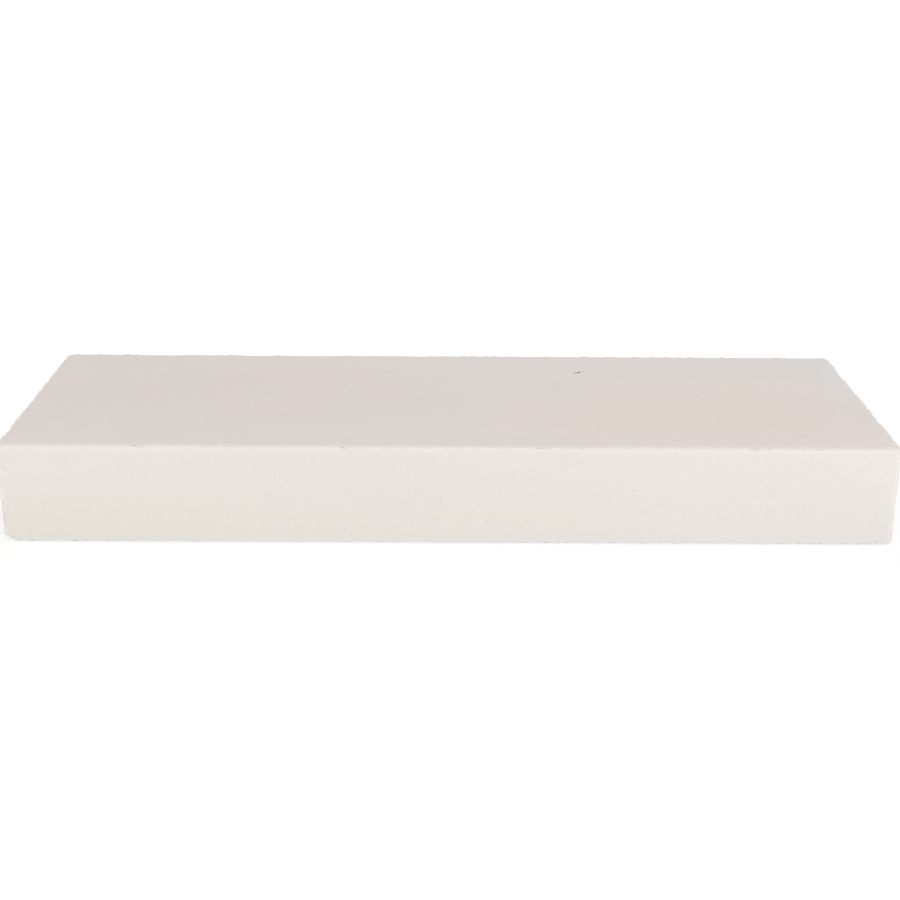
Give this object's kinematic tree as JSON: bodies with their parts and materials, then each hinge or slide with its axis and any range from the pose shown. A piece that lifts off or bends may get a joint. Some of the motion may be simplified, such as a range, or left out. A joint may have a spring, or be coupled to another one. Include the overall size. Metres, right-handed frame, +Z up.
{
  "type": "aerated concrete block",
  "caption": "Solid lightweight building block of aerated concrete, sawn flat on all six faces, for thin glued walls.",
  "frame": {"origin": "middle of the large face that the block lies on", "axes": "+X along the length, +Y along the width towards the back long side, +Z up through the thickness"},
  "size_m": [0.6, 0.2, 0.07],
  "materials": {
    "aerated_concrete": "matte"
  },
  "bodies": {
    "root": {"block": "aerated_concrete"}
  },
  "joints": []
}
